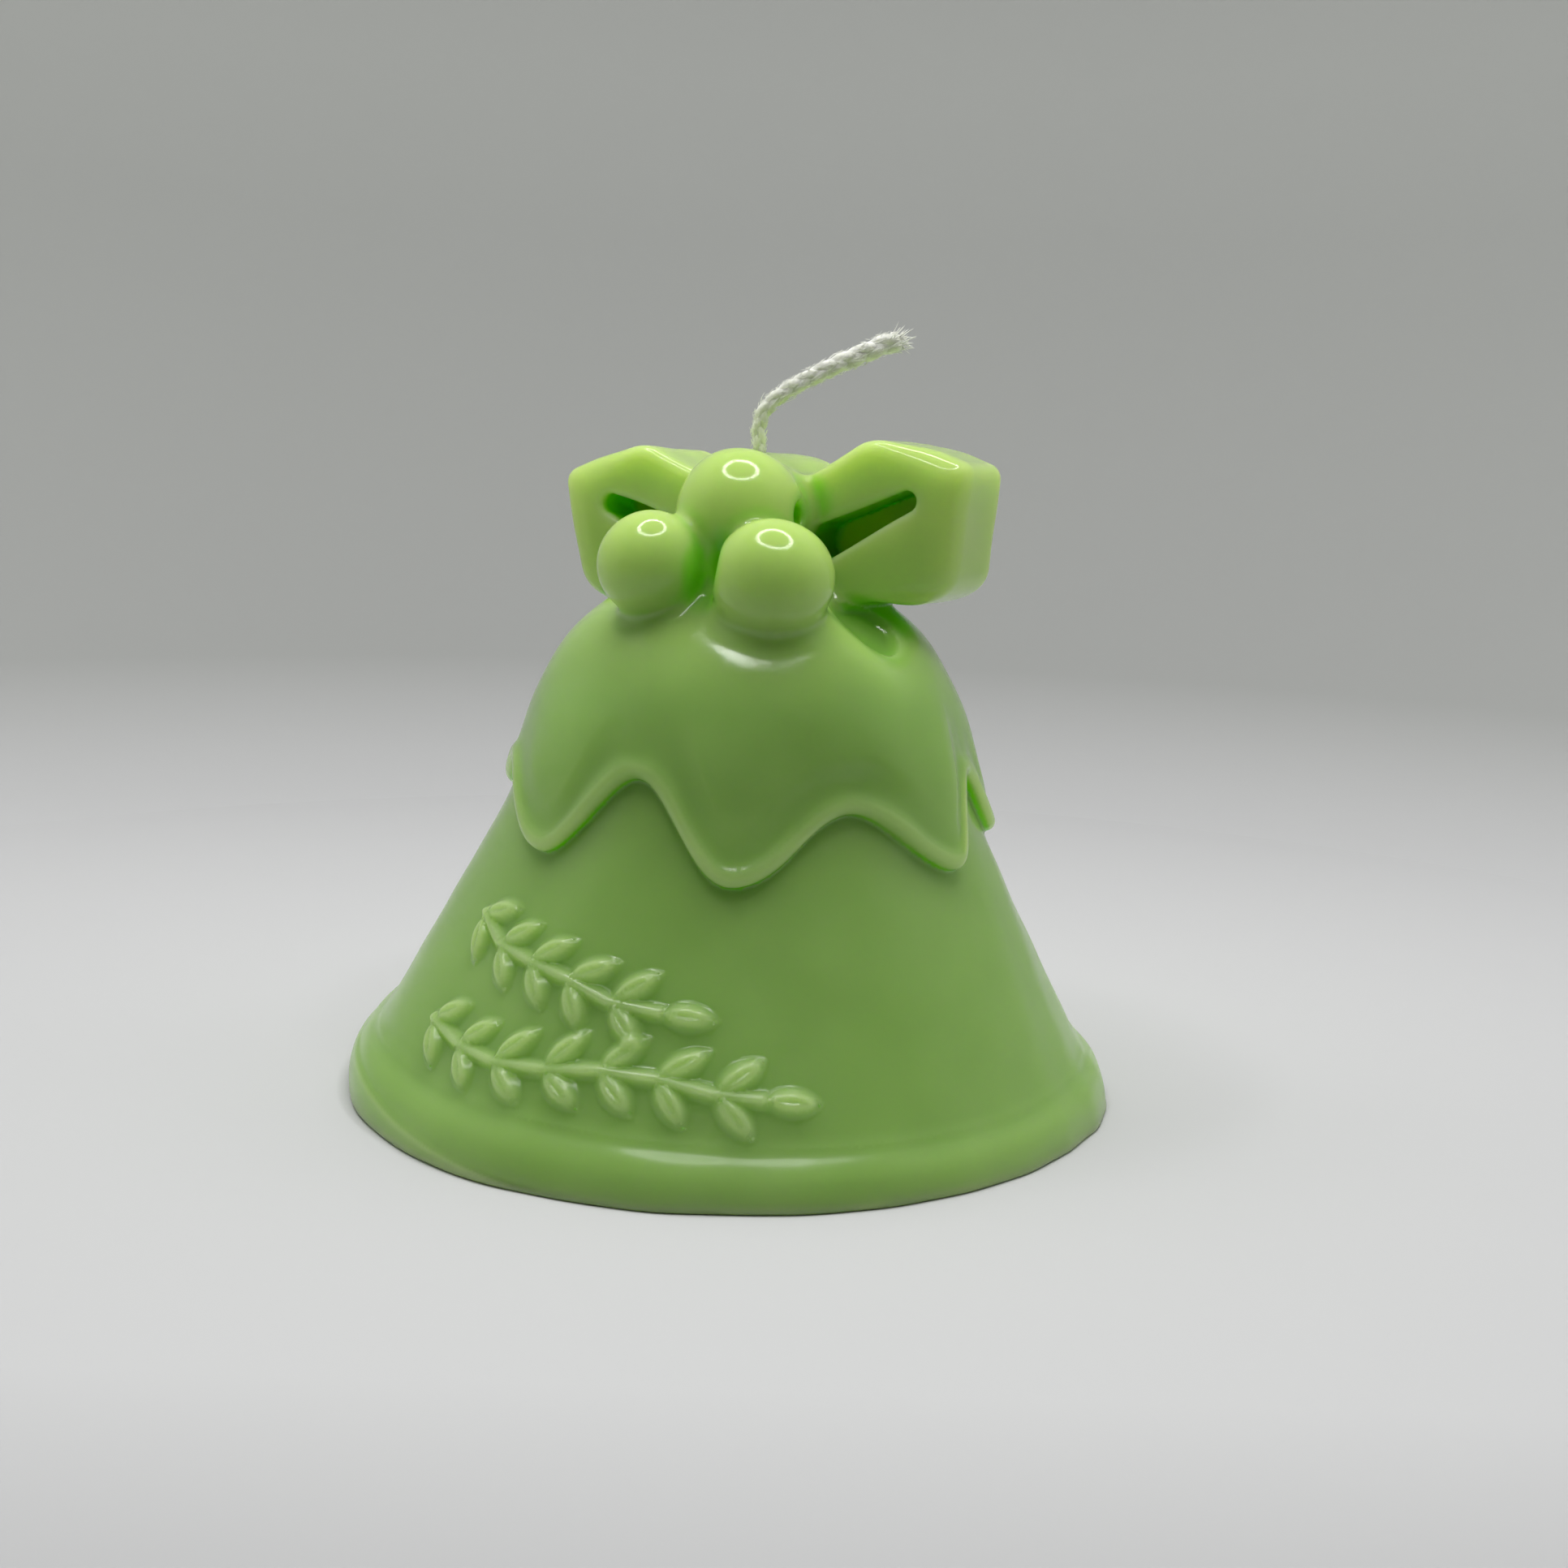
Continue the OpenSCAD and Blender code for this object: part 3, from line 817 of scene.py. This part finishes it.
class Braid:
    """The wick's centreline, its directions, and the size of its plait along the way."""

    SPACING = 0.12
    FREE_FROM = 64              # length along the wick at which it starts to loosen
    # Each in the wax, and how much more at the free end
    PITCH, PITCH_MORE = 4.6, 2.4
    WIDTH, WIDTH_MORE = 0.18, 0.22
    YARN_R, YARN_MORE = 0.44, 0.24
    YARNS = 3
    DEPTH = 0.45                # depth of the plait, as a share of its width

    def __init__(self):
        s, self.line = smooth_route(WICK_ROUTE, self.SPACING)
        self.tangent, self.over, self.side = axes_along(self.line)
        free = np.clip((s - self.FREE_FROM) / (s[-1] - self.FREE_FROM), 0, 1)
        turns = np.cumsum(np.full(len(s), s[1]) / (self.PITCH + self.PITCH_MORE * free))
        self.phase = turns * 2 * np.pi
        self.width = self.WIDTH + self.WIDTH_MORE * free
        self.yarn_r = self.YARN_R + self.YARN_MORE * free

    def yarn(self, strand):
        """The route of one yarn of the plait."""
        angle = self.phase + strand * 2 * np.pi / self.YARNS
        return self.line + (self.width * np.sin(angle))[:, None] * self.over \
            + (self.DEPTH * self.width * np.sin(2 * angle))[:, None] * self.side

    def outwards(self, place, turn):
        """The direction away from the centreline, at an angle round it."""
        return math.cos(turn) * self.over[place] + math.sin(turn) * self.side[place]


def lying_fibre(braid):
    """A short fibre that lies along the free end and lifts a little off it."""
    place = int(rng.uniform(0.76, 0.985) * len(braid.line))
    turn = rng.uniform(0, 2 * np.pi)
    out = braid.outwards(place, turn)
    outside = braid.width[place] * abs(math.cos(turn)) + braid.yarn_r[place]
    start = braid.line[place] + out * outside * 0.95
    length = rng.uniform(0.3, 0.8)
    t = np.linspace(0, 1, 5)[:, None]
    path = start + (braid.tangent[place] * rng.choice((-0.8, 1)) + out * 0.4) * length * t
    return tube(path, rounded_ends(5, rng.uniform(0.02, 0.035), 2), 4)


def stray_fibre(braid):
    """A longer fibre that leaves the free end and curls away from it."""
    count = len(braid.line)
    place = int(rng.uniform(0.0, 1.0) ** 0.8 * (count * 0.22)) + int(count * 0.77)
    place = min(place, count - 20)
    turn = rng.uniform(0, 2 * np.pi)
    out = braid.outwards(place, turn)
    start = braid.line[place] + out * (braid.width[place] + braid.yarn_r[place]) * 0.8
    length = rng.uniform(0.5, 2.2)
    t = np.linspace(0, 1, 9)[:, None]
    lift = rng.uniform(0.05, 0.4)
    curl = rng.normal(size=3) * 0.12
    path = start + braid.tangent[place] * length * t + out * lift * length * t**1.7 \
        + curl * np.sin(3 * t + turn)
    return tube(path, rounded_ends(9, rng.uniform(0.018, 0.03), 2), 5)


def frayed_fibre(at, ahead, lean):
    """A fibre that spreads from the cut end of a yarn, leaning one way."""
    spread = rng.normal(size=3) * 0.24
    start = at + spread * 1.1 - ahead * 0.5
    length = rng.uniform(0.5, 1.5)
    t = np.linspace(0, 1, 8)[:, None]
    path = start + ahead * length * t + (lean * 0.5 + spread * 1.1) * length * t**1.6
    return tube(path, rounded_ends(8, rng.uniform(0.03, 0.06), 2), 5)


LYING_FIBRES, STRAY_FIBRES, FRAYED_FIBRES = 700, 90, 80         # the last for each yarn
PLIES, PLY_H, PLY_TWIST = 6, 0.05, 4.0          # the ridges that wind round a yarn
CORE_SHORTER = 8                                # points by which the core stops before the end


def make_wick(material):
    """Three plaited yarns round a core, the fibres that stray from them, and the frayed cut end."""
    braid = Braid()
    pieces, ends = [], []
    taper = rounded_ends(len(braid.line), 1.0, 5)
    for strand in range(Braid.YARNS):
        path = braid.yarn(strand)
        shape = tube(path, braid.yarn_r * taper, 16, PLIES, PLY_H, PLY_TWIST)
        pieces.append((f"wick_yarn_{strand + 1}", *shape))
        ends.append((path[-5], braid.tangent[-5]))
    line = braid.line[:-CORE_SHORTER]
    core_r = (braid.yarn_r + braid.width * 0.2)[:-CORE_SHORTER] * rounded_ends(len(line), 0.94, 5)
    pieces.append(("wick_core", *tube(line, core_r, 16)))

    fibres = [lying_fibre(braid) for _ in range(LYING_FIBRES)]
    fibres += [stray_fibre(braid) for _ in range(STRAY_FIBRES)]
    for strand, (at, ahead) in enumerate(ends):
        up = 0.9 if strand == 0 else -0.4
        lean = braid.over[-1] * up + braid.side[-1] * (0.2 * (strand - 1))
        fibres += [frayed_fibre(at, ahead, lean) for _ in range(FRAYED_FIBRES)]
    pieces.append(("wick_fibres", *joined(fibres)))

    soaked_below, fades_over, least, most = 66, 7.5, 0.12, 0.8
    made = []
    for name, points, faces in pieces:
        piece = mesh_object(name, points @ LEAN.T * MM, faces, material)
        soak = np.clip(1.0 - (points[:, 2] - soaked_below) / fades_over, least, 1.0) * most
        add_float(piece, "soak", soak)
        made.append(piece)
    return made


# ---- camera, light and stage ----

def make_camera():
    """Just above the candle, looking a little down, with a slight roll to the right."""
    at = Vector((4.77, -186.22, 61.41)) * MM
    pitch_down, roll = math.radians(9.07), math.radians(1.9)
    data = bpy.data.cameras.new("camera")
    data.sensor_width, data.lens = 36, 41
    camera = bpy.data.objects.new("camera", data)
    bpy.context.scene.collection.objects.link(camera)
    ahead = Vector((0, math.cos(pitch_down), -math.sin(pitch_down)))
    level = ahead.to_track_quat("-Z", "Y").to_matrix()
    turn = level @ Matrix.Rotation(roll, 3, "Z")
    camera.matrix_world = Matrix.Translation(at) @ turn.to_4x4()
    data.clip_start, data.clip_end = 0.01, 10
    bpy.context.scene.camera = camera


def add_panel(name, at, target, size, power):
    """A soft rectangular light that neither the camera nor the wax's gloss shows."""
    data = bpy.data.lights.new(name, "AREA")
    data.shape, data.size, data.size_y = "RECTANGLE", size[0], size[1]
    data.energy = power
    light = bpy.data.objects.new(name, data)
    light.location = at
    light.rotation_euler = (Vector(target) - Vector(at)).to_track_quat("-Z", "Y").to_euler()
    light.visible_camera = False
    light.visible_glossy = False
    bpy.context.scene.collection.objects.link(light)


def make_sweep():
    """A pale floor that curves up into a wall behind and at the sides, open at the front."""
    floor_r, bend_r, wall_h, opening = 0.18, 0.13, 0.55, 62
    bend_steps, turns = 12, 72
    profile = []
    for i in range(bend_steps + 1):
        angle = math.radians(90 * i / bend_steps)
        profile.append((floor_r + bend_r * math.sin(angle), bend_r * (1 - math.cos(angle))))
    profile.append((floor_r + bend_r, wall_h))
    points, faces = [], []
    for j in range(turns + 1):
        azimuth = math.radians(opening + (360 - 2 * opening) * j / turns)
        for r, z in profile:
            points.append((r * math.sin(azimuth), -r * math.cos(azimuth), z))
    n = len(profile)
    for j in range(turns):
        for i in range(n - 1):
            faces.append((j * n + i, (j + 1) * n + i, (j + 1) * n + i + 1, j * n + i + 1))
    mesh_object("sweep", points, faces, paper_material())
    side = 3
    corners = [(-side, -side, 0), (side, -side, 0), (side, side, 0), (-side, side, 0)]
    mesh_object("floor", corners, [(0, 1, 2, 3)], paper_material())


def make_ring_lamp():
    """A flat glowing ring above the candle and a little in front, as photo boxes have."""
    radius, width, height, forward, strength = 0.099, 0.020, 0.29, 0.045, 20
    turns = 96
    points, faces = [], []
    for j in range(turns):
        angle = 2 * math.pi * j / turns
        for r in (radius - width / 2, radius + width / 2):
            points.append((r * math.cos(angle), r * math.sin(angle) - forward, height))
        k = (j + 1) % turns
        faces.append((2 * j, 2 * k, 2 * k + 1, 2 * j + 1))
    material = bpy.data.materials.new("lamp")
    material.use_nodes = True
    nodes = material.node_tree.nodes
    nodes.clear()
    glow = nodes.new("ShaderNodeEmission")
    glow.inputs["Strength"].default_value = strength
    out = nodes.new("ShaderNodeOutputMaterial")
    material.node_tree.links.new(glow.outputs["Emission"], out.inputs["Surface"])
    lamp = mesh_object("ring_lamp", points, faces, material)
    lamp.visible_camera = False


def make_light():
    """A dim grey world, soft panels at the sides and above, and plain colours."""
    world = bpy.data.worlds.new("world")
    world.use_nodes = True
    background = world.node_tree.nodes["Background"]
    background.inputs["Color"].default_value = (0.42, 0.43, 0.43, 1)
    background.inputs["Strength"].default_value = 0.18
    bpy.context.scene.world = world
    for side, name in ((-1, "left"), (1, "right")):
        add_panel(name + "_panel", at=(0.26 * side, 0.03, 0.10), target=(0, 0, 0.05),
                  size=(0.24, 0.18), power=0.10)
        add_panel(name + "_top_panel", at=(0.2 * side, 0.05, 0.42), target=(0, 0.05, 0),
                  size=(0.15, 0.4), power=0.34)
    add_panel("back_top_panel", at=(0, 0.16, 0.50), target=(0, 0.16, 0), size=(0.5, 0.2), power=0.25)
    bpy.context.scene.view_settings.view_transform = "Standard"


make_camera()
make_sweep()
make_ring_lamp()
make_light()

casting = make_wax()
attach(casting, "root")
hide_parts(*WAX_NODES)

yarns = make_wick(wick_material())
for yarn in yarns:
    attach(yarn, "root")
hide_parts("wick")
